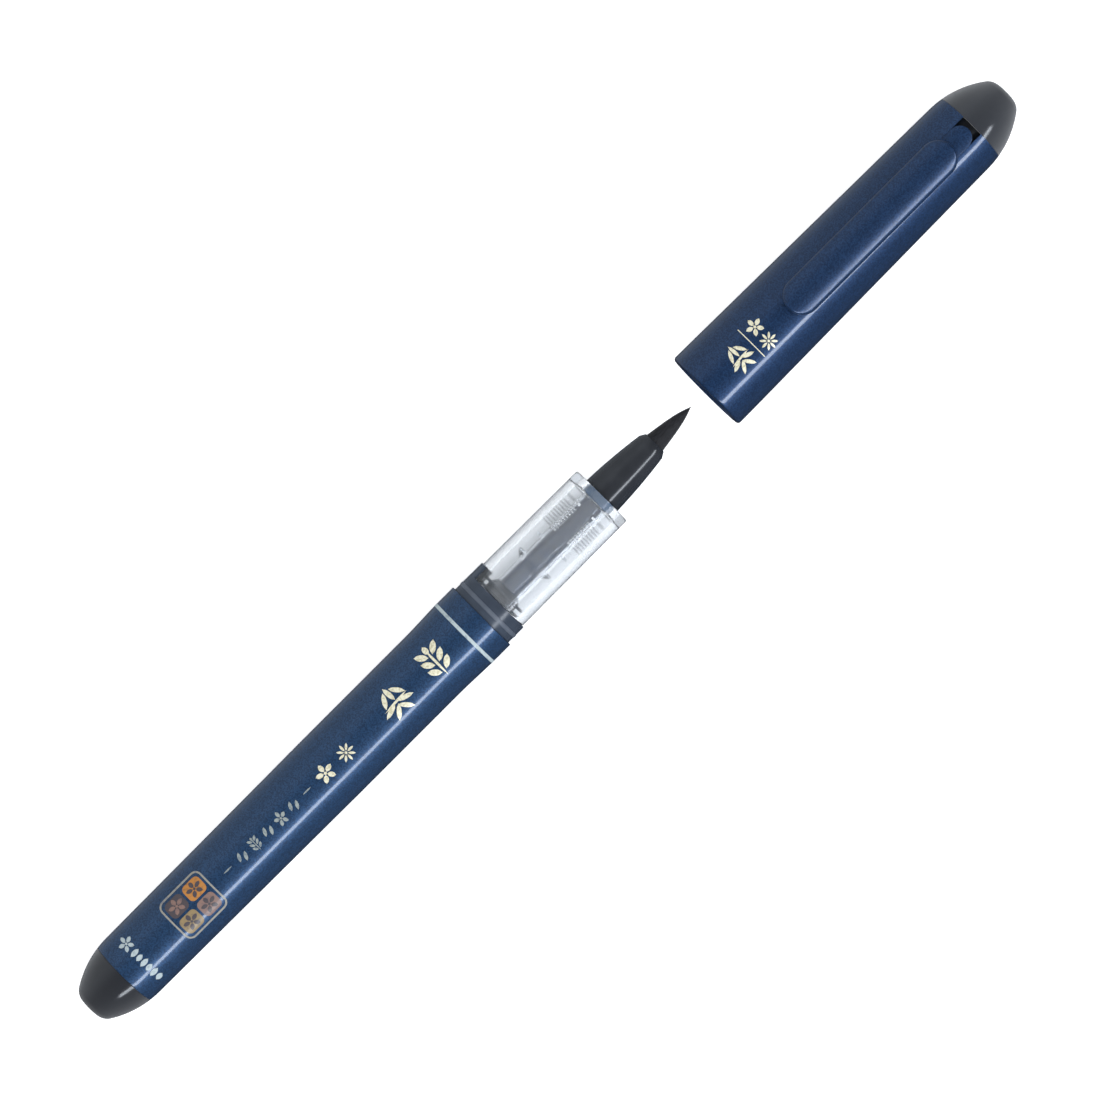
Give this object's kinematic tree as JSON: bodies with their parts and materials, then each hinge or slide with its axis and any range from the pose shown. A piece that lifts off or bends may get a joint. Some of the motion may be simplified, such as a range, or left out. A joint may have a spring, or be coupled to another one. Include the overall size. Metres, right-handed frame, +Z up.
{
  "type": "brush pen",
  "caption": "Direct-liquid brush pen with a soft pointed tip in a black ferrule, a see-through feed section, a lacquered barrel and a drawn-off cap with a pocket clip.",
  "frame": {"origin": "on the table surface under the middle of the whole length, with the pen lying on its side and the cap drawn off in line", "axes": "+X along the pen from the tail to the writing tip and the cap; +Z up, towards the clip and the decorated side; Y across"},
  "size_m": [0.1838, 0.013, 0.0148],
  "materials": {
    "blue_lacquer": "moulded plastic under a glossy dark blue pearl lacquer",
    "smoke_plastic": "bare smoke-grey translucent plastic, polished",
    "black_plastic": "moulded black plastic, glossy",
    "clear_plastic": "clear moulded plastic, slightly milky",
    "collector_plastic": "milky moulded plastic",
    "wick_fibre": "bonded fibre soaked with ink",
    "tip_fibre": "soft ground fibre soaked with black ink",
    "black_ink": "liquid",
    "liner_plastic": "moulded soft plastic",
    "holder_plastic": "moulded",
    "seal_rubber": "moulded",
    "gold_foil": "pale gold foil, hot-stamped, used by the decoration in the visual model only",
    "printed_ink": "pad-printed ink, used by the decoration in the visual model only"
  },
  "bodies": {
    "pen": {"barrel": "blue_lacquer", "tail_plug": "smoke_plastic", "ink_charge": "black_ink", "tank_bung": "black_plastic", "bung_seal": "seal_rubber", "feed_pipe": "clear_plastic", "ink_wick": "wick_fibre", "section_collar": "black_plastic", "clear_section": "clear_plastic", "collector": "collector_plastic", "ferrule": "black_plastic", "tip_holder": "holder_plastic"},
    "tip": {"brush_tip": "tip_fibre"},
    "cap": {"cap_tube": "blue_lacquer", "cap_crown": "smoke_plastic", "inner_cap": "liner_plastic"},
    "clip": {"cap_clip": "blue_lacquer"}
  },
  "joints": [
    {"name": "cap_slide", "type": "slide", "parent": "pen", "child": "cap", "axis": [1, 0, 0], "range_m": [-0.0449, 0.015]},
    {"name": "clip_flex", "type": "hinge", "parent": "cap", "child": "clip", "pos_m": [0.08375, 0, 0.01163], "axis": [0, 1, 0], "range_deg": [0, 4], "stiffness_Nm_per_rad": 0.8},
    {"name": "tip_flex", "type": "hinge", "parent": "pen", "child": "tip", "pos_m": [0.02155, 0, 0.00653], "axis": [0, 1, 0], "range_deg": [-15, 15], "stiffness_Nm_per_rad": 0.004}
  ]
}
